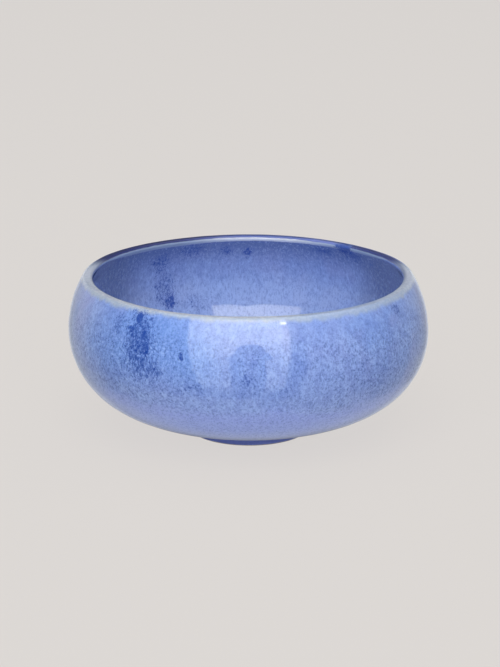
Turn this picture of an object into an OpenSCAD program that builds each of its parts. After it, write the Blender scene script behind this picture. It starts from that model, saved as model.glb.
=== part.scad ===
// Low, round flower vase in glazed stoneware: a wide bowl on a turned foot ring,
// with a separate coat of glaze on each zone. The origin is the centre of the
// standing face, +Z is up and every part is turned about the Z axis.
//
// The section is a chain of tangent arcs. A heading is the direction of travel
// along the section, in degrees from level: 0 on the floor, 90 at the belly and
// over 90 where the shoulder leans in. A depth is measured inwards from the
// outer glazed surface, so the inner glazed surface lies at depth wall_t.

/* [Bowl] */
// Diameter over the glaze at the belly, the widest place
belly_d = 200; // [190:1:215]
// Height of the widest place above the table
belly_z = 58.5; // [57:0.5:62]
// Radius of the belly's curve, in section
belly_curve = 45; // [42:0.5:47]
// Radius of the curve between the foot and the belly, in section
under_curve = 66; // [60:1:72]
// Radius of the shoulder's curve above the belly, in section
shoulder_curve = 59; // [54:1:64]
// Slope of the underside beside the foot, degrees from level
under_slope = 13; // [12:0.5:15]
// Wall thickness, with the glaze on both sides
wall_t = 5.45; // [5:0.05:6.5]

/* [Lip] */
// Heading of the wall where it meets the lip, in degrees
lip_heading = 121.3; // [115:0.1:125]
// Rounding of the lip's outer edge
lip_outer_r = 2.2; // [1.8:0.1:2.6]
// Rounding of the lip's inner edge
lip_inner_r = 1.6; // [1.2:0.1:2]
// How far the lip's pale glaze reaches down the outside, in degrees of shoulder
lip_band = 3.4; // [2:0.1:6]
// How far the lip's glaze reaches down the inside, in degrees of shoulder
lip_band_inside = 3; // [2:0.1:6]

/* [Foot] */
// Diameter over the glaze at the bottom of the foot
foot_d = 69.6; // [64:0.2:74]
// Flare of the foot's wall, degrees from upright
foot_flare = 12; // [6:1:16]
// Width of the foot ring's clay at the bottom
foot_w = 5.5; // [4.5:0.1:7]
// Height of the recess inside the foot ring
recess_h = 4; // [3:0.1:4]
// Height of the wiped, unglazed edge that the vase stands on
bare_h = 0.6; // [0.5:0.1:1.2]
// Bevel on both edges of the standing face
foot_bevel = 0.5; // [0.3:0.1:0.5]

/* [Glaze] */
// Thickness of every coat of glaze
glaze_t = 0.5; // [0.3:0.05:0.7]

/* [Hidden] */

// Smoothness: round faces, and the largest step between points of an arc
$fn = 180;
arc_step = 3;
corner_step = 12;

// Headings where one curve of the wall hands over to the next
under_to_belly = 30;
belly_to_shoulder = 95;
outer_lip_line = lip_heading - lip_band;
inner_lip_line = lip_heading - lip_band_inside;
level = 180;

function unit(heading) = [cos(heading), sin(heading)];
function outward(heading) = [sin(heading), -cos(heading)];

// Centres of the wall's curves, each tangent to its neighbour
belly_c = [belly_d / 2 - belly_curve, belly_z];
under_c = belly_c + (belly_curve - under_curve) * outward(under_to_belly);
shoulder_c = belly_c + (belly_curve - shoulder_curve) * outward(belly_to_shoulder);
floor_rise = under_c[0] / sin(under_slope);
floor_c = under_c - floor_rise * outward(under_slope);
floor_curve = under_curve + floor_rise;

// Centres of the lip's two roundings: both touch the level top of the lip
wall_top = shoulder_c + shoulder_curve * outward(lip_heading);
lip_outer_c = wall_top - lip_outer_r * outward(lip_heading);
lip_top_z = lip_outer_c[1] + lip_outer_r;
lip_inner_start = wall_top - (wall_t - lip_inner_r) * outward(lip_heading);
lip_inner_rise = (lip_top_z - lip_inner_r - lip_inner_start[1]) / sin(lip_heading);
lip_inner_c = lip_inner_start + lip_inner_rise * unit(lip_heading);

// Foot ring: radii over and under the glaze, and the clay's inner wall
foot_r = foot_d / 2;
foot_clay_r = foot_r - glaze_t / cos(foot_flare);
foot_bore_r = foot_clay_r - foot_w;
recess_ceiling = recess_h + glaze_t;

// Points along one arc, from one heading to another
function arc(centre, radius, from, to, step = arc_step) =
    let (count = ceil(abs(to - from) / step))
    [for (i = [0:count]) centre + radius * outward(from + (to - from) * i / count)];

function reversed(points) = [for (i = [len(points) - 1:-1:0]) points[i]];

// The straight underside, at a depth: its height at a radius, and the reverse
function under_end(depth) = under_c + (under_curve - depth) * outward(under_slope);
function under_z(r, depth) =
    under_end(depth)[1] - (under_end(depth)[0] - r) * tan(under_slope);
function under_r(z, depth) =
    under_end(depth)[0] - (under_end(depth)[1] - z) / tan(under_slope);

// Radius of the foot's outer wall, and where that wall meets the underside
function foot_wall_r(z, depth) = foot_r + z * tan(foot_flare) - depth / cos(foot_flare);
function foot_corner(depth) =
    let (lean = tan(foot_flare), slope = tan(under_slope))
    let (z = (under_z(0, depth) + foot_wall_r(0, depth) * slope) / (1 - lean * slope))
    [foot_wall_r(z, depth), z];

// Outside of the wall at a depth, from the foot's corner up to the lip's glaze
function outer_wall(depth) = concat(
    [foot_corner(depth)],
    arc(under_c, under_curve - depth, under_slope, under_to_belly),
    arc(belly_c, belly_curve - depth, under_to_belly, belly_to_shoulder),
    arc(shoulder_c, shoulder_curve - depth, belly_to_shoulder, outer_lip_line)
);

// Inside of the wall at a depth, from the centre of the floor up to the lip
function inner_wall(depth) = concat(
    arc(floor_c, floor_curve - depth, 0, under_slope),
    arc(under_c, under_curve - depth, under_slope, under_to_belly),
    arc(belly_c, belly_curve - depth, under_to_belly, belly_to_shoulder),
    arc(shoulder_c, shoulder_curve - depth, belly_to_shoulder, inner_lip_line)
);

// Over the lip from outside to inside, this far below the glazed surface
function lip_path(below) = concat(
    arc(shoulder_c, shoulder_curve - below, outer_lip_line, lip_heading),
    arc(lip_outer_c, lip_outer_r - below, lip_heading, level, corner_step),
    arc(lip_inner_c, lip_inner_r - below, level, level + lip_heading, corner_step),
    arc(shoulder_c, shoulder_curve - wall_t + below, lip_heading, inner_lip_line)
);

// Glazed surface of the recess, this far below the clay
function recess_path(below) = [
    [0, recess_ceiling - below],
    [under_r(recess_ceiling - below, glaze_t - below), recess_ceiling - below],
    [foot_bore_r - below, under_z(foot_bore_r - below, glaze_t - below)],
    [foot_bore_r - below, bare_h]
];

module turned(points) {
    rotate_extrude() polygon(points);
}

// A coat between two matching paths, one on each of its faces
module coat(face, back) {
    turned(concat(face, reversed(back)));
}

// Fired clay of the floor and the wall
module clay_bowl() {
    color([0.80, 0.74, 0.65])
    turned(concat(
        [[0, recess_ceiling], [under_r(recess_ceiling, glaze_t), recess_ceiling]],
        outer_wall(glaze_t),
        lip_path(glaze_t),
        reversed(inner_wall(wall_t - glaze_t))
    ));
}

// Turned clay ring under the floor, bare where it stands
module foot_ring() {
    color([0.76, 0.69, 0.60])
    turned([
        [foot_bore_r + foot_bevel, 0],
        [foot_clay_r - foot_bevel, 0],
        [foot_wall_r(foot_bevel, glaze_t), foot_bevel],
        foot_corner(glaze_t),
        [foot_bore_r, under_z(foot_bore_r, glaze_t)],
        [foot_bore_r, foot_bevel]
    ]);
}

// Blue glaze inside the bowl
module inner_glaze() {
    color([0.42, 0.51, 0.77]) coat(inner_wall(wall_t), inner_wall(wall_t - glaze_t));
}

// Pale glaze where the coat breaks over the lip
module lip_glaze() {
    color([0.76, 0.80, 0.84]) coat(lip_path(0), lip_path(glaze_t));
}

// Speckled blue glaze over the outside of the bowl
module outer_glaze() {
    color([0.49, 0.56, 0.82]) coat(outer_wall(0), outer_wall(glaze_t));
}

// Dark run of glaze down the foot's wall
module foot_glaze() {
    color([0.20, 0.24, 0.48])
    turned([
        [foot_wall_r(bare_h, 0), bare_h],
        foot_corner(0),
        foot_corner(glaze_t),
        [foot_wall_r(bare_h, glaze_t), bare_h]
    ]);
}

// Glaze lining the recess inside the foot ring
module base_glaze() {
    color([0.35, 0.42, 0.68]) coat(recess_path(glaze_t), recess_path(0));
}

clay_bowl();
foot_ring();
inner_glaze();
lip_glaze();
outer_glaze();
foot_glaze();
base_glaze();
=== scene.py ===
"""A low, round flower vase in reactive-glazed stoneware, finished around its CAD frame.

The pot is one turned section, carried through a field of small handmade errors and cut
into the same pieces as the CAD: a clay bowl, a foot ring and five coats of glaze.
Shapes are worked out in millimetres and degrees, and written to the meshes in metres.
"""

import math

import bpy
import numpy as np
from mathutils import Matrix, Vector


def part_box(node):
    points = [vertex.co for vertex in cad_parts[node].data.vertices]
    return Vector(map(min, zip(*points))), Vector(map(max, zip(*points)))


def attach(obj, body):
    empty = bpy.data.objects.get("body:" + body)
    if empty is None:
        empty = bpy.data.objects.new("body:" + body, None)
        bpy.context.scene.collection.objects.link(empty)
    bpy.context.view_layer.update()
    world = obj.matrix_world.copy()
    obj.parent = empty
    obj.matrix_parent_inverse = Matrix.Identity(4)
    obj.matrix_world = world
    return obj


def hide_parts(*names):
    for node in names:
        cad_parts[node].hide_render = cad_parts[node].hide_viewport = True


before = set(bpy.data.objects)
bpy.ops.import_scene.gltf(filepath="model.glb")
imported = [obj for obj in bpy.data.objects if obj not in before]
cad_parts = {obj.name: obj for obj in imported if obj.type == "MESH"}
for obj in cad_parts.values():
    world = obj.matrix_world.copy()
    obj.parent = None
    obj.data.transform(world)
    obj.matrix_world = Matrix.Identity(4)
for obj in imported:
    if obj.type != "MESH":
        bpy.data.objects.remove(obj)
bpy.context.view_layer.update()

MM = 0.001
AROUND = 480  # facets round the pot
ANGLES = np.linspace(0, 2 * math.pi, AROUND, endpoint=False)
CIRCLE = np.stack([np.cos(ANGLES), np.sin(ANGLES)], axis=1)
ON_AXIS = 1e-6  # a ring that is smaller than this is one point

# ------------------------------------------------------------------ the section
# The section is a chain of tangent arcs, the same as the CAD's. A heading is the
# direction of travel along it, in degrees from level; depth is measured inwards
# from the outer glazed surface.

BELLY_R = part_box("outer_glaze")[1].x / MM
LIP_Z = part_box("lip_glaze")[1].z / MM
BARE_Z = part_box("foot_glaze")[0].z / MM
RECESS_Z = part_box("clay_bowl")[0].z / MM

BELLY_Z = 58.5
BELLY_CURVE = 45.0
UNDER_CURVE = 66.0
SHOULDER_CURVE = 59.0
UNDER_SLOPE = 13.0
UNDER_TO_BELLY = 30.0
BELLY_TO_SHOULDER = 95.0
LIP_HEADING = 121.3
LIP_BAND = 3.4
LIP_BAND_INSIDE = 3.0
LIP_OUTER_R = 2.2
LIP_INNER_R = 1.6
WALL = 5.45
GLAZE = 0.5
FOOT_R = 34.8
FOOT_FLARE = 12.0
FOOT_CLAY_W = 5.5
FOOT_BEVEL = 0.5
FOOT_FILLET = 2.2  # glaze that pools in the corner between foot and bowl
BORE_FILLET = 1.2
# The inside is cut deeper from the belly down: where the cut starts and where it is
# full, in millimetres down the inner glaze, and how deep it goes
CUT_START, CUT_FULL, CUT_DEPTH = 32.5, 54.5, 1.16


def outward(heading):
    """Normal of a stretch with this heading, on the side that faces out of the pot."""
    turn = np.radians(heading)
    return np.stack([np.sin(turn), -np.cos(turn)], axis=-1)


def along(heading):
    """Direction of travel at this heading."""
    turn = np.radians(heading)
    return np.stack([np.cos(turn), np.sin(turn)], axis=-1)


def smooth(value, low, high):
    """0 below low, 1 above high and an even curve between them."""
    share = np.clip((value - low) / (high - low), 0, 1)
    return share * share * (3 - 2 * share)


def lengths(points):
    """Distance along a path at each of its points."""
    steps = np.hypot(*np.diff(points, axis=0).T)
    return np.concatenate([[0], np.cumsum(steps)])


BELLY_C = np.array([BELLY_R - BELLY_CURVE, BELLY_Z])
UNDER_C = BELLY_C + (BELLY_CURVE - UNDER_CURVE) * outward(UNDER_TO_BELLY)
SHOULDER_C = BELLY_C + (BELLY_CURVE - SHOULDER_CURVE) * outward(BELLY_TO_SHOULDER)
FLOOR_RISE = UNDER_C[0] / math.sin(math.radians(UNDER_SLOPE))
FLOOR_C = UNDER_C - FLOOR_RISE * outward(UNDER_SLOPE)
FLOOR_CURVE = UNDER_CURVE + FLOOR_RISE
WALL_TOP = SHOULDER_C + SHOULDER_CURVE * outward(LIP_HEADING)
LIP_OUTER_C = WALL_TOP - LIP_OUTER_R * outward(LIP_HEADING)
LIP_START = WALL_TOP - (WALL - LIP_INNER_R) * outward(LIP_HEADING)
LIP_CLIMB = (LIP_OUTER_C[1] + LIP_OUTER_R - LIP_INNER_R - LIP_START[1]) / along(LIP_HEADING)[1]
LIP_INNER_C = LIP_START + LIP_CLIMB * along(LIP_HEADING)
FOOT_CLAY_R = FOOT_R - GLAZE / math.cos(math.radians(FOOT_FLARE))
BORE_R = FOOT_CLAY_R - FOOT_CLAY_W


def arc(centre, radius, start, end, step):
    """Points and headings along an arc; a negative radius curves the other way."""
    length = abs(radius * math.radians(end - start))
    headings = np.linspace(start, end, max(2, math.ceil(length / step) + 1))
    return centre + radius * outward(headings), headings


def straight(start, end, step):
    """Points and headings along a straight stretch."""
    start, end = np.array(start, float), np.array(end, float)
    run = end - start
    count = max(2, math.ceil(np.hypot(*run) / step) + 1)
    share = np.linspace(0, 1, count)[:, None]
    heading = math.degrees(math.atan2(run[1], run[0]))
    return start + share * run, np.full(count, heading)


def chain(*stretches):
    """Joins stretches into one path, dropping the points that they share."""
    points, headings = [stretches[0][0]], [stretches[0][1]]
    for next_points, next_headings in stretches[1:]:
        shared = np.allclose(points[-1][-1], next_points[0], atol=1e-6)
        same_way = abs(headings[-1][-1] - next_headings[0]) < 1e-6
        first = 1 if shared and same_way else 0
        points.append(next_points[first:])
        headings.append(next_headings[first:])
    return np.vstack(points), np.concatenate(headings)


def reverse(path):
    """The same path walked the other way; its normals keep their side."""
    return path[0][::-1], path[1][::-1]


def under_end(depth):
    return UNDER_C + (UNDER_CURVE - depth) * outward(UNDER_SLOPE)


def under_z(r, depth):
    """Height of the straight underside at a radius."""
    end = under_end(depth)
    return end[1] - (end[0] - r) * math.tan(math.radians(UNDER_SLOPE))


def under_r(z, depth):
    """Radius of the straight underside at a height."""
    end = under_end(depth)
    return end[0] - (end[1] - z) / math.tan(math.radians(UNDER_SLOPE))


def foot_wall_r(z, depth):
    flare = math.radians(FOOT_FLARE)
    return FOOT_R + z * math.tan(flare) - depth / math.cos(flare)


def foot_corner(depth):
    """Where the foot's wall meets the underside."""
    lean = math.tan(math.radians(FOOT_FLARE))
    slope = math.tan(math.radians(UNDER_SLOPE))
    z = (under_z(0, depth) + foot_wall_r(0, depth) * slope) / (1 - lean * slope)
    return np.array([foot_wall_r(z, depth), z])


FILLET_C = foot_corner(-FOOT_FILLET)
FILLET_LOW = FILLET_C - FOOT_FILLET * outward(90 - FOOT_FLARE)
FILLET_HIGH = FILLET_C - FOOT_FILLET * outward(UNDER_SLOPE)
FILLET_MIDDLE = (90 - FOOT_FLARE + UNDER_SLOPE) / 2


def shoulder_wall(depth, end, step):
    """The wall from where the underside starts to curve up to a heading on the shoulder."""
    return chain(
        arc(UNDER_C, UNDER_CURVE - depth, UNDER_SLOPE, UNDER_TO_BELLY, step),
        arc(BELLY_C, BELLY_CURVE - depth, UNDER_TO_BELLY, BELLY_TO_SHOULDER, step),
        arc(SHOULDER_C, SHOULDER_CURVE - depth, BELLY_TO_SHOULDER, end, step),
    )


def outer_path(step):
    """Outer glaze, from the middle of the foot's fillet up to the lip's glaze."""
    return chain(
        arc(FILLET_C, -FOOT_FILLET, FILLET_MIDDLE, UNDER_SLOPE, 0.4),
        straight(FILLET_HIGH, under_end(0), step),
        shoulder_wall(0, LIP_HEADING - LIP_BAND, step),
    )


def lip_path(step):
    """Over the lip, from outside to inside."""
    inside_start = SHOULDER_C + (SHOULDER_CURVE - WALL) * outward(LIP_HEADING)
    corner_end = LIP_INNER_C + LIP_INNER_R * outward(180 + LIP_HEADING)
    inside = arc(
        SHOULDER_C, SHOULDER_CURVE - WALL, LIP_HEADING, LIP_HEADING - LIP_BAND_INSIDE, step
    )
    return chain(
        arc(SHOULDER_C, SHOULDER_CURVE, LIP_HEADING - LIP_BAND, LIP_HEADING, step),
        arc(LIP_OUTER_C, LIP_OUTER_R, LIP_HEADING, 180, step / 2),
        straight(LIP_OUTER_C + [0, LIP_OUTER_R], LIP_INNER_C + [0, LIP_INNER_R], step),
        arc(LIP_INNER_C, LIP_INNER_R, 180, 180 + LIP_HEADING, step / 2),
        straight(corner_end, inside_start, step),
        (inside[0], inside[1] + 180),
    )


def inner_path(step):
    """Inner glaze, from the lip's glaze down to the centre of the floor."""
    upward = chain(
        arc(FLOOR_C, FLOOR_CURVE - WALL, 0, UNDER_SLOPE, step),
        shoulder_wall(WALL, LIP_HEADING - LIP_BAND_INSIDE, step),
    )
    points, headings = reverse(upward)
    headings = headings + 180
    run, reach = lengths(points), CUT_FULL - CUT_START
    depth = CUT_DEPTH * smooth(run, CUT_START, CUT_FULL)
    share = np.clip((run - CUT_START) / reach, 0, 1)
    slope = CUT_DEPTH * 6 * share * (1 - share) / reach
    points = points - depth[:, None] * outward(headings)
    return points, headings + np.degrees(np.arctan(slope))


def foot_path():
    """Foot glaze, from its rounded lower edge up to the middle of the fillet."""
    foot_heading = 90 - FOOT_FLARE
    bead_c = np.array([foot_wall_r(BARE_Z, GLAZE), BARE_Z]) + GLAZE * along(foot_heading)
    return chain(
        arc(bead_c, GLAZE, foot_heading - 90, foot_heading, 0.12),
        straight(bead_c + GLAZE * outward(foot_heading), FILLET_LOW, 0.6),
        arc(FILLET_C, -FOOT_FILLET, foot_heading, FILLET_MIDDLE, 0.4),
    )


def base_path():
    """Glaze of the recess, from its centre out and down the bore to its lower edge."""
    ceiling = RECESS_Z - GLAZE
    wall_r = BORE_R - GLAZE
    bend = under_r(ceiling, 0)
    fillet_c = np.array([wall_r - BORE_FILLET, 0.0])
    turn = math.radians(UNDER_SLOPE)
    fillet_c[1] = under_z(fillet_c[0], 0) - BORE_FILLET / math.cos(turn)
    bead_c = np.array([BORE_R, BARE_Z + GLAZE])
    return chain(
        straight([0, ceiling], [bend, ceiling], 1.5),
        straight([bend, ceiling], fillet_c - BORE_FILLET * outward(UNDER_SLOPE), 0.8),
        arc(fillet_c, -BORE_FILLET, UNDER_SLOPE, -90, 0.2),
        straight([wall_r, fillet_c[1]], [wall_r, bead_c[1]], 0.6),
        arc(bead_c, GLAZE, -90, 0, 0.12),
    )


# ------------------------------------------------------------------ the potter's hand


def handmade(r, z, angle):
    """Carries a point of the true section to its place on the real pot, in millimetres.

    The rim is out of round, leans and waves; the wall has throwing ridges; the glaze on
    the foot ends in a wavy line.
    """
    up = smooth(z, 25, LIP_Z)
    above_foot = smooth(z, 8, 30)
    out_of_round = 0.30 * np.sin(2 * angle) + 0.12 * np.cos(3 * angle - 1.5)
    turns = 2 * math.pi * z
    ridges = (
        0.022 * np.sin(turns / 7.3 + angle)
        + 0.030 * np.sin(turns / 13.9 - angle + 1.1)
        + 0.006 * np.sin(turns / 4.1 + 2 * angle)
    )
    share = smooth(r, 5, 60)
    r = r + (out_of_round * up + ridges * above_foot) * share
    x = r * np.cos(angle) + 0.60 - 0.7 * up
    y = r * np.sin(angle)
    lip_wave = 0.10 * np.sin(3 * angle + 0.4) + 0.07 * np.sin(5 * angle + 2.0)
    lip_wave = lip_wave + 0.25 * np.cos(4 * angle) * smooth(np.sin(angle), 0.2, 0.6)
    glaze_line = 0.12 * np.sin(4 * angle) + 0.09 * np.sin(9 * angle + 1) + 0.05 * np.sin(17 * angle)
    near_line = smooth(z, 0.5, 0.9) * (1 - smooth(z, 3, 6)) * smooth(r, BORE_R + 2, BORE_R + 4)
    lean = -0.0025 * r * np.cos(angle) - 0.0015 * r * np.sin(angle)
    z = z + (lean + lip_wave) * up + (0.14 + glaze_line) * near_line
    return np.stack([x, y, z], axis=-1)


def swell(arc_mm, angle):
    """Extra thickness of the glaze where it ran and gathered, in millimetres."""
    runs = (
        np.sin(31 * angle + 0.02 * arc_mm)
        + 0.8 * np.sin(47 * angle + 1.7)
        + 0.6 * np.sin(19 * angle - 0.03 * arc_mm)
    )
    dimples = np.sin(0.31 * arc_mm + 5 * angle) * np.sin(13 * angle - 0.11 * arc_mm)
    return 0.012 * runs + 0.025 * dimples


# ------------------------------------------------------------------ meshes


def back_of(path, depth, step):
    """Coarser path this far under a visible one, walked back from its end."""
    points, headings = path
    run = lengths(points)
    count = max(2, math.ceil(run[-1] / step) + 1)
    picks = sorted({int(np.argmin(abs(run - s))) for s in np.linspace(0, run[-1], count)})
    kept = (points - depth * outward(headings))[picks]
    return kept[::-1], headings[picks][::-1]


def skin(points, headings, arc_mm, shown):
    """Places and normals of every ring of a section; only the shown rings swell."""
    angle = ANGLES[None, :]
    is_shown = (np.arange(len(points)) < shown)[:, None]
    extra = swell(arc_mm[:, None], angle) * smooth(points[:, 1:2], 10, 20) * is_shown
    side, ahead = outward(headings), along(headings)
    r = points[:, 0:1] + extra * side[:, 0:1]
    z = points[:, 1:2] + extra * side[:, 1:2]
    place = handmade(r, z, angle)

    # Normals come from the whole field of errors, so those of neighbouring pieces match
    nudge, turn, nothing = 0.05, 0.002, 1e-9
    next_along = handmade(r + nudge * ahead[:, 0:1], z + nudge * ahead[:, 1:2], angle)
    next_round = handmade(r, z, angle + turn)
    normal = np.cross(next_round - place, next_along - place)
    size = np.linalg.norm(normal, axis=-1, keepdims=True)
    level = side[:, 0:1] * np.cos(angle), side[:, 0:1] * np.sin(angle)
    radial = np.stack([*level, side[:, 1:2] + 0 * angle], axis=-1)
    normal = np.where(size > nothing, normal / np.maximum(size, nothing), radial)
    normal = normal * np.sign((normal * radial).sum(-1, keepdims=True))
    return place, normal * np.where(is_shown, 1.0, -1.0)[:, :, None]


def tile_radii(points, shown, spread):
    """Radius of every ring on the piece's tile: the shown rings, then the hidden ones.

    The polar map spreads the shown face over the tile, its radius growing with the
    distance along the section, and puts the hidden face in a small ring in a corner.
    """
    run = lengths(points[:shown])
    if points[shown - 1, 0] < ON_AXIS:
        front = run[-1] - run
    elif points[0, 0] < ON_AXIS:
        front = run
    else:
        front = points[0, 0] + spread * run
    back = lengths(np.vstack([points[shown - 1 :], points[:1]]))
    reach, corner_inner, corner_width = 0.485, 0.02, 0.04
    back = corner_inner + corner_width * back / max(back[-1], 1e-9)
    return front * reach / front.max(), back


def turned_mesh(name, visible, hidden, arc_start, arc_sign, spread=1):
    """A closed piece turned from a section: a visible path and the hidden path home.

    The pot attribute holds x, y and the distance over the glaze from the crest of the
    lip, in millimetres, for the glaze's patterns. The spread is -1 where the visible
    path runs inwards, so that its map isn't turned inside out.
    """
    points = np.vstack([visible[0], hidden[0]])
    headings = np.concatenate([visible[1], hidden[1]])
    shown, rings = len(visible[0]), len(points)
    arc_mm = np.full(rings, float(arc_start))
    arc_mm[:shown] += arc_sign * lengths(visible[0])
    place, normal = skin(points, headings, arc_mm, shown)
    pole = points[:, 0] < ON_AXIS

    index = np.zeros((rings, AROUND), int)
    coords, normals, pot = [], [], []
    total = 0
    for k in range(rings):
        count = 1 if pole[k] else AROUND
        index[k] = total + np.arange(AROUND) % count
        total += count
        coords.append(place[k, :count])
        normals.append(normal[k, :count])
        pot.append(np.hstack([points[k, 0] * CIRCLE[:count], np.full((count, 1), arc_mm[k])]))

    front, back = tile_radii(points, shown, spread)
    front_centre, back_centre = np.array([0.5, 0.5]), np.array([0.93, 0.93])
    round_ahead = np.roll(CIRCLE, -1, axis=0)
    faces, uvs = [], []
    strips = rings - 1 if pole[0] and pole[-1] else rings
    for k in range(strips):
        j = (k + 1) % rings
        if pole[k] and pole[j]:
            continue
        if k < shown - 1:
            centre, low, high = front_centre, front[k], front[k + 1]
        else:
            centre, low, high = back_centre, back[k - shown + 1], back[k - shown + 2]
        corners = [index[k], np.roll(index[k], -1), np.roll(index[j], -1), index[j]]
        spots = [low * CIRCLE, low * round_ahead, high * round_ahead, high * CIRCLE]
        keep = [0, 1, 2, 3]
        if pole[k]:
            keep = [0, 2, 3]
        elif pole[j]:
            keep = [0, 1, 2]
        faces.extend(np.stack([corners[c] for c in keep], 1).tolist())
        uvs.append(centre + np.stack([spots[c] for c in keep], 1).reshape(-1, 2))

    mesh = bpy.data.meshes.new(name)
    mesh.from_pydata((np.vstack(coords) * MM).tolist(), [], faces)
    mesh.polygons.foreach_set("use_smooth", np.ones(len(faces), bool))
    layer = mesh.uv_layers.new(name="OFBake")
    layer.data.foreach_set("uv", np.vstack(uvs).astype(np.float32).ravel())
    attribute = mesh.attributes.new("pot", "FLOAT_VECTOR", "POINT")
    attribute.data.foreach_set("vector", np.vstack(pot).astype(np.float32).ravel())
    mesh.update()
    mesh.normals_split_custom_set_from_vertices(np.vstack(normals).tolist())
    piece = bpy.data.objects.new(name, mesh)
    bpy.context.scene.collection.objects.link(piece)
    return piece


def finish_piece(piece, node, material):
    """Stands a piece in for its CAD node, on the pot's one body."""
    piece.data.materials.append(material)
    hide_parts(node)
    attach(piece, "root")


# ------------------------------------------------------------------ node graphs


def tint(red, green, blue):
    """Linear colour from one given as 0 to 255 on a display."""
    shares = np.array([red, green, blue]) / 255
    linear = np.where(shares <= 0.04045, shares / 12.92, ((shares + 0.055) / 1.055) ** 2.4)
    return (*linear, 1.0)


class Graph:
    """Short calls that build a node tree, for a material or for the world."""

    def __init__(self, owner):
        owner.use_nodes = True
        self.owner = owner
        self.tree = owner.node_tree
        self.shader = self.tree.nodes.get("Principled BSDF")

    def node(self, kind, inputs=(), **settings):
        made = self.tree.nodes.new(kind)
        for key, value in settings.items():
            setattr(made, key, value)
        for key, value in dict(inputs).items():
            self.join(value, made.inputs[key])
        return made

    def join(self, value, socket):
        if isinstance(value, bpy.types.NodeSocket):
            self.tree.links.new(value, socket)
        else:
            socket.default_value = value

    def math(self, operation, a, b=0.0):
        return self.node("ShaderNodeMath", {0: a, 1: b}, operation=operation).outputs[0]

    def add(self, a, b):
        return self.math("ADD", a, b)

    def times(self, a, b):
        return self.math("MULTIPLY", a, b)

    def rest(self, share):
        """What a share leaves of the whole."""
        return self.math("SUBTRACT", 1.0, share)

    def most(self, first, *others):
        """The largest of several values."""
        for other in others:
            first = self.math("MAXIMUM", first, other)
        return first

    def vector(self, operation, a, b):
        return self.node("ShaderNodeVectorMath", {0: a, 1: b}, operation=operation).outputs[0]

    def parts(self, vector):
        return self.node("ShaderNodeSeparateXYZ", {0: vector}).outputs

    def noise(self, vector, size, detail=2.0, roughness=0.5):
        """Even noise, mostly from 0.3 to 0.7, with features about this many units wide."""
        inputs = {
            "Vector": vector,
            "Scale": 1.0 / size,
            "Detail": detail,
            "Roughness": roughness,
        }
        return self.node("ShaderNodeTexNoise", inputs).outputs["Fac"]

    def cells(self, vector, size):
        """Distance to the nearest of a scatter of points about this many units apart."""
        inputs = {"Vector": vector, "Scale": 1.0 / size}
        return self.node("ShaderNodeTexVoronoi", inputs).outputs["Distance"]

    def ramp(self, value, low, high, floor=0.0, top=1.0):
        """Smooth step of a value from floor to top between low and high."""
        inputs = {"Value": value, "From Min": low, "From Max": high, "To Min": floor, "To Max": top}
        made = self.node("ShaderNodeMapRange", inputs, interpolation_type="SMOOTHSTEP")
        return made.outputs["Result"]

    def mix(self, share, a, b):
        made = self.node("ShaderNodeMix", {"Factor": share}, data_type="RGBA")
        self.join(a, made.inputs[6])
        self.join(b, made.inputs[7])
        return made.outputs[2]


# ------------------------------------------------------------------ materials

DAY = tint(144, 171, 237)
DUSK = tint(124, 148, 220)
SKY = tint(168, 197, 250)
BLUE = tint(104, 143, 227)
LILAC = tint(148, 160, 224)
# Smooth lilac glaze low down, lightened as a painted reflection of the pale table
MIST_AND_PAINTED_REFLECTION = tint(143, 162, 241)
SLATE = tint(122, 144, 200)
COBALT = tint(8, 60, 158)
AZURE = tint(104, 148, 230)
INK = tint(62, 92, 172)
NAVY = tint(20, 28, 104)
DENIM = tint(62, 84, 164)
HYACINTH = tint(104, 120, 196)
FOOT_BLUE = tint(72, 90, 172)
CELADON = tint(178, 191, 206)
# Back of the rim: a darker copy of the celadon as painted shade, and a painted highlight for its
# middle
FAR_CELADON_PAINTED_SHADE = tint(146, 166, 198)
FAR_PAINTED_HIGHLIGHT = tint(216, 225, 243)
# Glaze breaking white on the crest, made whiter as a painted highlight at the front
CREAM_AND_PAINTED_HIGHLIGHT = tint(222, 229, 240)
WATERY = tint(168, 188, 224)
# Painted shade: the dark of the lip's inner side, and of the inside at the sides
LIP_SHADE = tint(86, 100, 144)
# A lighter copy of the celadon for the lip's sides: painted light
LIP_SIDE_PAINTED_LIGHT = tint(222, 230, 248)
LIP_BLUE = tint(138, 158, 200)
# Painted light on the inside, deep down
INSIDE_PAINTED_LIGHT = tint(158, 182, 236)
# Painted shade inside, under the rim
SHADE = tint(70, 94, 160)

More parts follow.
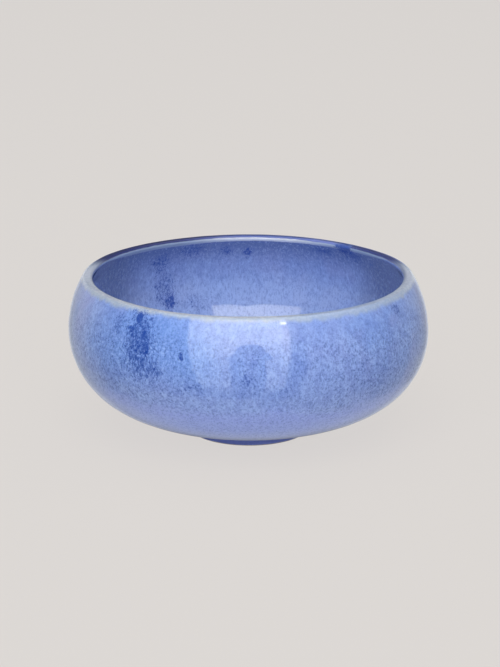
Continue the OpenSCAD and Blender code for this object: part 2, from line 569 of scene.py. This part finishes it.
# Dark cobalt runs: azimuth in degrees from +X, distance below the lip's crest
# (negative inside), half the width and half the height in millimetres, strength
RUNS = [
    # Outside, on the left of the front
    (-125.5, 19.0, 11.0, 20.0, 0.86),
    (-127.0, 7.5, 2.2, 4.0, 1.4),
    (-129.0, 13.5, 3.0, 3.0, 1.05),
    (-124.0, 14.5, 2.4, 3.5, 1.1),
    (-122.5, 22.0, 3.2, 4.5, 1.05),
    (-134.5, 12.0, 5.0, 7.0, 0.65),
    (-120.0, 33.0, 7.0, 8.0, 0.72),
    (-107.0, 39.5, 8.0, 5.0, 0.6),
    (-110.5, 24.0, 1.5, 2.6, 1.0),
    (-90.0, 34.5, 5.0, 6.0, 0.65),
    (-88.0, 24.0, 9.0, 9.0, 0.5),
    # Outside, on the right
    (-33.0, 9.0, 4.5, 4.5, 0.75),
    (-54.0, 8.0, 8.0, 4.0, 0.4),
    # Inside, from right to left
    (49.5, -2.5, 6.5, 6.5, 1.3),
    (46.0, -9.0, 8.0, 5.0, 0.8),
    (60.0, -9.0, 8.0, 3.5, 0.75),
    (98.5, -13.0, 4.0, 4.0, 0.8),
    (90.0, -14.0, 3.0, 3.5, 0.9),
    (112.0, -10.5, 9.0, 5.0, 0.7),
    (124.5, -17.0, 7.0, 8.0, 0.75),
    (122.0, -36.0, 9.0, 15.0, 0.7),
    (120.0, -42.0, 5.0, 6.5, 0.95),
    (110.0, -46.0, 14.0, 8.0, 0.55),
    # Outside, round the back
    (62.0, 26.0, 9.0, 18.0, 0.9),
    (155.0, 38.0, 12.0, 14.0, 0.8),
    (5.0, 52.0, 14.0, 9.0, 0.7),
]
AZURE_SIDE = -122.0  # azimuth of the bluest ground, round the largest run


class Spot:
    """Where on the pot a point is, as sockets, in millimetres.

    x and y are its place, and drop is its distance over the glaze from the lip's
    crest, negative inside. The rest are shares and noises that patterns have in common.
    """

    def __init__(self, g):
        self.g = g
        self.pot = g.node("ShaderNodeAttribute", attribute_name="pot").outputs["Vector"]
        self.x, self.y, self.drop = g.parts(self.pot)
        self.fine = self.drawn_out(0.75)
        self.streaked = self.drawn_out(0.22)
        self.inside = g.ramp(self.drop, -3.0, -5.0)
        self.clouds = g.noise(self.fine, 30.0, 2.0, 0.5)
        cloudy_drop = g.add(self.drop, g.times(g.add(self.clouds, -0.5), 20.0))
        self.low = g.ramp(cloudy_drop, 48.5, 59.5)
        self.uneven = g.add(g.noise(self.streaked, 7.0, 3.0, 0.6), -0.5)
        flecks = g.times(g.add(g.noise(self.fine, 1.2, 2.0, 0.9), -0.5), 1.7)
        self.cobalt = g.ramp(g.add(self.dark_runs(), flecks), 0.40, 1.10)

    def drawn_out(self, share):
        """The place with its last axis shrunk, so that patterns are drawn out downwards."""
        return self.g.vector("MULTIPLY", self.pot, (1.0, 1.0, share))

    def towards(self, azimuth):
        """Distance from the pot's axis in this direction."""
        g, turn = self.g, math.radians(azimuth)
        return g.add(g.times(self.x, math.cos(turn)), g.times(self.y, math.sin(turn)))

    def dark_runs(self):
        """Dark glaze from the runs, with ragged, feathered outlines."""
        g = self.g
        ragged = g.noise(self.drawn_out(0.6), 2.6, 4.0, 0.95)
        ragged = g.times(g.add(ragged, -0.5), 3.2)
        near, far = 20.0, 45.0
        runs = []
        for azimuth, below, half_width, half_height, strength in RUNS:
            across = g.times(self.towards(azimuth + 90), 1.0 / half_width)
            down = g.times(g.add(self.drop, -below), 1.0 / half_height)
            squares = g.add(g.math("POWER", across, 2.0), g.math("POWER", down, 2.0))
            reach = g.add(g.math("SQRT", squares), ragged)
            run = g.ramp(reach, 0.3, 1.6, strength, 0.0)
            runs.append(g.times(run, g.ramp(self.towards(azimuth), near, far)))
        return g.most(0.0, *runs)


def ground(g, at):
    """Cloudy ground, drawn out downwards, which settles low down to a smooth lilac mist, lightened
    as a painted reflection of the pale table.
    """
    streaks = g.noise(at.streaked, 3.5, 3.0, 0.65)
    colour = g.mix(g.ramp(streaks, 0.38, 0.62), DUSK, DAY)
    colour = g.mix(g.ramp(at.clouds, 0.46, 0.66, 0.0, 0.4), colour, BLUE)
    elsewhere = g.vector("ADD", at.fine, (300.0, 0.0, 0.0))
    lilac_clouds = g.ramp(g.noise(elsewhere, 24.0, 2.0, 0.5), 0.50, 0.66, 0.0, 0.6)
    fewer_in_front = g.ramp(at.y, -88.0, -60.0, 0.3, 1.0)
    colour = g.mix(g.times(lilac_clouds, fewer_in_front), colour, LILAC)
    colour = g.mix(g.ramp(at.drop, 24.0, 38.0, 0.0, 0.3), colour, DUSK)

    # Inside, greyer, with painted shade: darker near the lip, under the rim, and at the sides; and
    # with painted light: lighter deep down, on the wall that faces the window
    near_lip = g.ramp(at.drop, -26.0, -6.0, 0.0, 0.78)
    painted_light_deep = g.ramp(at.drop, -22.0, -40.0, 0.0, 0.5)
    painted_shade_at_sides = g.ramp(g.math("ABSOLUTE", at.x), 58.0, 80.0, 0.0, 0.7)
    colour = g.mix(g.times(at.inside, 0.6), colour, SLATE)
    colour = g.mix(g.times(at.inside, near_lip), colour, SHADE)
    colour = g.mix(g.times(at.inside, painted_light_deep), colour, INSIDE_PAINTED_LIGHT)
    colour = g.mix(g.times(at.inside, painted_shade_at_sides), colour, LIP_SHADE)

    # Low down, a smooth lilac glaze, lightened as a painted reflection of the pale table
    colour = g.mix(g.times(at.low, 0.85), colour, MIST_AND_PAINTED_REFLECTION)
    azure = g.ramp(at.towards(AZURE_SIDE), 84.0, 95.0, 0.0, 0.65)
    colour = g.mix(g.times(azure, g.ramp(at.drop, 48.0, 24.0)), colour, AZURE)
    return g.mix(g.times(at.cobalt, 0.85), colour, COBALT)


def speckled(g, at, colour):
    """Adds dense fine grain, pale crystals and dark specks; gives the dark share too."""
    near_lip = g.ramp(at.drop, 26.0, 8.0, 0.0, 0.55)
    in_front = g.ramp(at.y, -80.0, -96.0, 0.0, 0.25)
    calm = g.most(g.times(at.low, 0.4), g.times(at.inside, 0.5), near_lip, in_front)
    strength = g.rest(calm)
    fibres = g.times(g.noise(at.drawn_out(0.45), 1.25, 2.0, 0.9), at.inside)
    crystals = g.times(g.noise(at.fine, 1.35, 2.0, 1.0), g.rest(at.inside))
    grain = g.add(g.add(crystals, fibres), g.times(at.cobalt, -0.08))
    light = g.times(g.ramp(grain, 0.52, 0.66, 0.0, 0.6), strength)
    dark = g.times(g.ramp(grain, 0.50, 0.35, 0.0, 0.85), strength)
    specks = g.times(g.ramp(g.cells(at.fine, 2.6), 0.22, 0.10), g.times(strength, 0.55))
    dark = g.most(dark, specks)
    colour = g.mix(light, colour, SKY)
    return g.mix(dark, colour, g.mix(at.cobalt, INK, COBALT)), dark


def broken_over_lip(g, at, colour):
    """Lets the coat break pale over the lip's edge, with painted light and shade: a painted
    highlight on the crest at the front, lighter sides whose inner side is painted shade, and at the
    back a darker pale line with a painted highlight in its middle.
    """
    to_right = g.times(g.ramp(at.x, 10.0, 40.0), g.ramp(at.y, -20.0, -70.0))
    beside = g.ramp(at.y, -45.0, -5.0)
    outer_reach = g.add(at.drop, g.times(at.uneven, 5.0))
    outer_reach = g.add(outer_reach, g.times(to_right, -1.2))
    inner_reach = g.add(at.drop, g.times(at.uneven, 0.8))
    inner_reach = g.add(inner_reach, g.ramp(at.y, 25.0, 55.0, 0.0, 2.3))
    inner_reach = g.add(inner_reach, g.ramp(at.x, -45.0, 0.0, 0.0, -0.7))
    band = g.times(g.ramp(outer_reach, 2.4, 5.6, 1.0, 0.0), g.ramp(inner_reach, -4.0, -3.2))
    band = g.times(band, g.rest(g.times(at.cobalt, 0.9)))

    # Painted light: the band is lighter away from the front
    pale = g.mix(beside, CELADON, LIP_SIDE_PAINTED_LIGHT)
    # Painted shade: the inner side of the lip darker at the sides, sooner on the right
    shade_reach = g.add(at.drop, g.ramp(at.x, -40.0, 40.0, 0.0, -1.0))
    pale = g.mix(g.times(g.ramp(shade_reach, -0.8, -3.6), beside), pale, LIP_SHADE)
    crest = g.times(g.ramp(at.drop, -3.2, -2.2), g.ramp(at.drop, 2.6, 1.0))
    # Painted highlight: the crest whitest at the front
    pale = g.mix(g.times(crest, g.ramp(at.y, -5.0, -45.0)), pale, CREAM_AND_PAINTED_HIGHLIGHT)
    pale = g.mix(g.times(to_right, 0.8), pale, WATERY)
    # At the back the pale line is a darker copy of the celadon (painted shade), with a painted
    # highlight in the middle
    off_middle = g.math("ABSOLUTE", g.add(at.x, -8.0))
    far_rim_painted_light = g.mix(g.ramp(off_middle, 50.0, 8.0), FAR_CELADON_PAINTED_SHADE, FAR_PAINTED_HIGHLIGHT)
    pale = g.mix(g.ramp(at.y, 0.0, 40.0), pale, far_rim_painted_light)
    mottle = g.ramp(g.noise(at.fine, 2.0, 3.0, 0.8), 0.42, 0.62, 0.45, 0.0)
    mottle = g.times(mottle, g.ramp(at.y, 10.0, -30.0, 0.3, 1.0))
    return g.mix(g.times(band, 0.9), colour, g.mix(mottle, pale, LIP_BLUE))


def thick_at_back(g, at, colour):
    """Round the back of the crest the coat lies thick: navy on the left, violet on the right."""
    edge = g.add(at.drop, g.times(at.uneven, 0.8))
    thick = g.times(g.ramp(edge, -3.3, -2.7), g.ramp(at.drop, 7.0, 4.0))
    thick = g.times(thick, g.ramp(at.y, 12.0, 34.0))
    thick = g.times(thick, g.add(0.95, g.times(at.cobalt, -0.9)))
    back_blue = g.mix(g.ramp(at.x, -45.0, 5.0), NAVY, DENIM)
    uneven_x = g.add(at.x, g.times(at.uneven, 40.0))
    back_blue = g.mix(g.ramp(uneven_x, 15.0, 50.0), back_blue, HYACINTH)
    far_right = g.times(g.ramp(at.x, 49.0, 55.0), g.ramp(at.drop, 1.4, 0.2))
    back_blue = g.mix(g.times(far_right, 0.8), back_blue, NAVY)
    return g.mix(thick, colour, back_blue)


def glaze(name):
    """Reactive blue glaze, coloured by place, so that coats match where they meet."""
    g = Graph(bpy.data.materials.new(name))
    at = Spot(g)
    colour, dark = speckled(g, at, ground(g, at))
    colour = broken_over_lip(g, at, colour)
    colour = thick_at_back(g, at, colour)
    on_foot = g.ramp(at.drop, 120.0, 124.0, 0.0, 0.9)
    g.join(g.mix(on_foot, colour, FOOT_BLUE), g.shader.inputs["Base Color"])

    # Gloss: a satin body under a clear, glassy coat
    g.join(g.add(g.times(dark, 0.1), 0.38), g.shader.inputs["Roughness"])
    g.shader.inputs["IOR"].default_value = 1.5
    g.shader.inputs["Specular IOR Level"].default_value = 0.2
    g.shader.inputs["Coat Weight"].default_value = 1.0
    g.shader.inputs["Coat Roughness"].default_value = 0.05
    g.shader.inputs["Coat IOR"].default_value = 1.5

    # Shallow ripples and fine pits
    ripples, pits = g.noise(at.pot, 6.0, 2.0), g.noise(at.fine, 1.4, 2.0)
    height = g.add(g.times(ripples, 0.05), g.times(pits, 0.003))
    bump = g.node("ShaderNodeBump", {"Height": height, "Distance": MM, "Strength": 1.0})
    g.join(bump.outputs[0], g.shader.inputs["Normal"])
    g.join(bump.outputs[0], g.shader.inputs["Coat Normal"])
    return g.owner


def stoneware(name):
    """Bare fired clay: sandy, with iron specks and fine turning lines."""
    g = Graph(bpy.data.materials.new(name))
    pot = g.node("ShaderNodeAttribute", attribute_name="pot").outputs["Vector"]
    grain = g.noise(pot, 0.7, 3.0, 0.6)
    colour = g.mix(g.ramp(grain, 0.35, 0.65), tint(124, 113, 103), tint(150, 139, 127))
    iron = g.ramp(g.cells(pot, 2.2), 0.16, 0.08)
    colour = g.mix(g.times(iron, 0.8), colour, tint(84, 62, 48))
    g.join(colour, g.shader.inputs["Base Color"])
    g.shader.inputs["Roughness"].default_value = 0.85
    bump = g.node("ShaderNodeBump", {"Height": grain, "Distance": 0.08 * MM, "Strength": 1.0})
    g.join(bump.outputs[0], g.shader.inputs["Normal"])
    return g.owner


# ------------------------------------------------------------------ the vase

# Where patterns start, in millimetres, on pieces that don't run on from the lip
RECESS_START, FOOT_RING_START = 400.0, 500.0
# The foot ring's fine clay face ends behind the glaze; its hidden face starts higher up
CLAY_SHOWN_Z, CLAY_HIDDEN_Z = 1.6, 3.0
HIDDEN_STEP = 6.0


def build_vase():
    lip = lip_path(0.7)
    outer = outer_path(1.3)
    inner = inner_path(1.5)
    foot = foot_path()
    base = base_path()
    lip_run = lengths(lip[0])
    to_middle = 1.2  # about half of the lip's flat top
    crest = lip_run[int(np.argmax(lip[0][:, 1]))] + to_middle
    outer_run = lengths(outer[0])[-1]
    foot_run = lengths(foot[0])[-1]
    clay = stoneware("fired_stoneware")

    def coat(node, path, arc_start, arc_sign, spread=1):
        hidden = back_of(path, GLAZE, HIDDEN_STEP)
        piece = turned_mesh(node + "_finished", path, hidden, arc_start, arc_sign, spread)
        finish_piece(piece, node, glaze(node.replace("_glaze", "") + "_reactive_glaze"))
        return hidden

    lip_back = coat("lip_glaze", lip, crest, -1, -1)
    outer_back = coat("outer_glaze", outer, crest + outer_run, -1)
    inner_back = coat("inner_glaze", inner, crest - lip_run[-1], -1)
    coat("foot_glaze", foot, crest + outer_run + foot_run, -1)
    coat("base_glaze", base, RECESS_START, 1)

    # The clay fills what the coats leave, out to the same hidden faces
    corner = outer_back[0][-1]
    recess_edge = [under_r(RECESS_Z, GLAZE), RECESS_Z]
    ceiling = straight([0, RECESS_Z], recess_edge, 3.0)
    to_foot = straight(recess_edge, corner, 3.0)
    body = chain(ceiling, to_foot, reverse(outer_back), reverse(lip_back), reverse(inner_back))
    no_path = body[0][:0], body[1][:0]
    piece = turned_mesh("clay_bowl_finished", body, no_path, RECESS_START, 1)
    finish_piece(piece, "clay_bowl", clay)

    bore_edge, wall_edge = BORE_R + FOOT_BEVEL, FOOT_CLAY_R - FOOT_BEVEL
    above_bevel = [foot_wall_r(FOOT_BEVEL, GLAZE), FOOT_BEVEL]
    visible = chain(
        straight([BORE_R, CLAY_SHOWN_Z], [BORE_R, FOOT_BEVEL], 0.3),
        straight([BORE_R, FOOT_BEVEL], [bore_edge, 0], 0.2),
        straight([bore_edge, 0], [wall_edge, 0], 0.7),
        straight([wall_edge, 0], above_bevel, 0.2),
        straight(above_bevel, [foot_wall_r(CLAY_SHOWN_Z, GLAZE), CLAY_SHOWN_Z], 0.3),
    )
    hidden = chain(
        straight([foot_wall_r(CLAY_HIDDEN_Z, GLAZE), CLAY_HIDDEN_Z], corner, 2.0),
        straight(corner, [BORE_R, under_z(BORE_R, GLAZE)], 3.0),
    )
    piece = turned_mesh("foot_ring_finished", visible, hidden, FOOT_RING_START, 1)
    finish_piece(piece, "foot_ring", clay)


# ------------------------------------------------------------------ stage, light and camera

# The camera, fitted to the photo's view, in metres
TARGET = Vector((0.0, 0.0, 0.045))
CAMERA_DISTANCE = 1.182
CAMERA_RISE = math.radians(16.98)
CAMERA_LENS = 114.14
CAMERA_SHIFT = (0.00285, 0.02383)


def look_at(item, target):
    item.rotation_euler = (target - item.location).to_track_quat("-Z", "Y").to_euler()


def area_light(name, place, target, width, height, power):
    """A white, rectangular lamp that the camera doesn't see."""
    data = bpy.data.lights.new(name, "AREA")
    data.shape = "RECTANGLE"
    data.size, data.size_y = width, height
    data.energy = power
    light = bpy.data.objects.new(name, data)
    light.location = place
    look_at(light, Vector(target))
    light.visible_camera = False
    bpy.context.scene.collection.objects.link(light)


def build_camera():
    data = bpy.data.cameras.new("camera")
    data.lens = CAMERA_LENS
    data.sensor_width = 36
    data.shift_x, data.shift_y = CAMERA_SHIFT
    data.clip_end = 100
    camera = bpy.data.objects.new("camera", data)
    back = Vector((0, -math.cos(CAMERA_RISE), math.sin(CAMERA_RISE)))
    camera.location = TARGET + CAMERA_DISTANCE * back
    look_at(camera, TARGET)
    bpy.context.scene.collection.objects.link(camera)
    bpy.context.scene.camera = camera


def sheet(name, points, faces, material):
    """A surface of the stage."""
    mesh = bpy.data.meshes.new(name)
    mesh.from_pydata(points, [], faces)
    mesh.materials.append(material)
    made = bpy.data.objects.new(name, mesh)
    bpy.context.scene.collection.objects.link(made)
    return made


PAPER = (0.701, 0.672, 0.651)  # the pale backdrop as the camera sees it, linear
ROOM = (0.66, 0.68, 0.70, 1.0)
WINDOW_Y = -1.75
WINDOW_GLOW = 3.9
WINDOW_COLOUR = (1.0, 0.965, 0.88, 1.0)


def pale_paper():
    """Backdrop paper that glows, so that shadows on it stay faint."""
    g = Graph(bpy.data.materials.new("pale_paper"))
    reflects, glows = 0.09, 0.93
    g.shader.inputs["Base Color"].default_value = (*(reflects * share for share in PAPER), 1.0)
    g.shader.inputs["Roughness"].default_value = 0.9
    g.shader.inputs["Specular IOR Level"].default_value = 0.0
    g.shader.inputs["Emission Color"].default_value = (*PAPER, 1.0)
    g.shader.inputs["Emission Strength"].default_value = glows
    return g.owner


def build_backdrop():
    """Pale floor and a pale wall all round it, seen only by the camera."""
    reach, height, count = 5.0, 4.0, 48
    paper = pale_paper()
    around = [math.tau * k / count for k in range(count)]
    ring = [(reach * math.cos(turn), reach * math.sin(turn)) for turn in around]
    floor = sheet("floor", [(x, y, 0) for x, y in ring], [tuple(range(count))], paper)
    points = [(x, y, z) for z in (0, height) for x, y in ring]
    sides = [(k, (k + 1) % count, count + (k + 1) % count, count + k) for k in range(count)]
    backdrop = sheet("backdrop", points, sides, paper)
    for seen in (floor, backdrop):
        seen.visible_diffuse = False
        seen.visible_glossy = False
        seen.visible_shadow = False


def build_window():
    """A bright window in front of the vase that fades downwards round a dark shape."""
    g = Graph(bpy.data.materials.new("window_light"))
    x, _, z = g.parts(g.node("ShaderNodeNewGeometry").outputs["Position"])

    # Its sides lean: where each is at table height, and how far it shifts per metre up
    left, right = -1.18, 0.82
    left_slant, right_slant = -0.24, 0.12
    top, bottom, soft = 3.6, -1.6, 0.04
    from_left = g.add(g.add(x, -left), g.times(z, -left_slant))
    from_right = g.add(g.add(g.times(x, -1.0), right), g.times(z, right_slant))
    sides = g.times(g.ramp(from_left, -soft, soft), g.ramp(from_right, -soft, soft))

    downwards = g.times(g.ramp(z, -0.35, 1.0, 0.44, 1.0), g.ramp(z, bottom, -0.3))
    fade = g.times(downwards, g.ramp(z, 0.9, 1.5, 1.0, 1.08))
    fade = g.times(fade, g.ramp(x, -1.3, -0.2, 0.8, 1.0))

    # The dark shape: a low roof over a narrower body
    roof_x, roof_z, roof_slope = 0.09, 0.755, 0.8
    half_body, body_soft = 0.335, 0.025
    eaves, eaves_z, eaves_soft = 0.15, 0.30, 0.03
    roof_drop = g.times(g.math("ABSOLUTE", g.add(x, -roof_x)), roof_slope)
    under_roof = g.ramp(g.add(g.add(z, -roof_z), roof_drop), 0.015, -0.03)
    wider = g.ramp(z, eaves_z - eaves_soft, eaves_z + eaves_soft, 0.0, eaves)
    from_body = g.math("SUBTRACT", g.math("ABSOLUTE", x), wider)
    in_body = g.ramp(from_body, half_body + body_soft, half_body - body_soft)
    clear = g.rest(g.times(under_roof, in_body))

    glow = g.times(g.times(sides, fade), g.times(clear, WINDOW_GLOW))
    emission = g.node("ShaderNodeEmission", {"Strength": glow, "Color": WINDOW_COLOUR})
    g.join(emission.outputs[0], g.tree.nodes["Material Output"].inputs["Surface"])
    far_left = left + left_slant * top - soft
    far_right = right + right_slant * top + soft
    corners = [
        (far_left, WINDOW_Y, bottom),
        (far_right, WINDOW_Y, bottom),
        (far_right, WINDOW_Y, top),
        (far_left, WINDOW_Y, top),
    ]
    window = sheet("window", corners, [(0, 1, 2, 3)], g.owner)
    window.visible_camera = False


def build_world():
    """Soft light from all round: brighter below and at the sides, dim behind the vase."""
    world = bpy.data.worlds.new("studio")
    bpy.context.scene.world = world
    g = Graph(world)
    # A direction in the room: x to the right, y away from the camera and z up
    x, y, z = g.parts(g.node("ShaderNodeTexCoord").outputs["Generated"])
    off_centre = g.math("ABSOLUTE", x)
    behind = g.ramp(y, 0.1, 0.6)
    below = g.times(g.ramp(z, -0.45, -0.9), g.ramp(y, 0.1, 0.5, 1.0, 0.6))
    above = g.ramp(z, 0.6, 0.95, 0.0, 0.2)
    beside = g.times(g.ramp(z, -0.75, -0.5), g.ramp(z, 0.5, 0.2))
    left_side = g.times(beside, g.ramp(x, -0.2, -0.5, 0.0, 0.75))
    right_side = g.times(beside, g.ramp(x, 0.2, 0.5, 0.0, 0.5))
    far_table = g.ramp(off_centre, 0.15, 0.45, 0.24, 0.54)
    table = g.times(g.ramp(z, 0.14, -0.02), g.ramp(z, -0.42, -0.32, far_table, 0.5))
    horizon = g.times(g.ramp(off_centre, 0.05, 0.14), g.ramp(off_centre, 0.45, 0.28, 0.0, 0.45))
    horizon = g.times(horizon, g.times(g.ramp(z, 0.28, 0.12), g.ramp(z, -0.62, -0.5)))
    level = g.add(g.most(table, left_side, right_side), horizon)
    ambient = g.add(g.ramp(y, 0.3, 0.8, 0.14, 0.10), g.ramp(x, -0.2, 0.9, 0.0, 0.16))
    level = g.add(ambient, g.add(g.add(below, above), g.times(level, behind)))
    background = g.tree.nodes["Background"]
    background.inputs["Color"].default_value = ROOM
    g.join(level, background.inputs["Strength"])


def build_stage():
    bpy.context.scene.view_settings.view_transform = "Standard"
    build_world()
    build_backdrop()
    build_window()
    area_light("overhead", (0.0, 0.3, 2.4), (0, 0, 0), 3.0, 3.0, 20)
    area_light("lamp", (0.45, -0.84, 0.93), (0.02, -0.09, 0.087), 0.075, 0.022, 0.09)


build_camera()
build_vase()
build_stage()
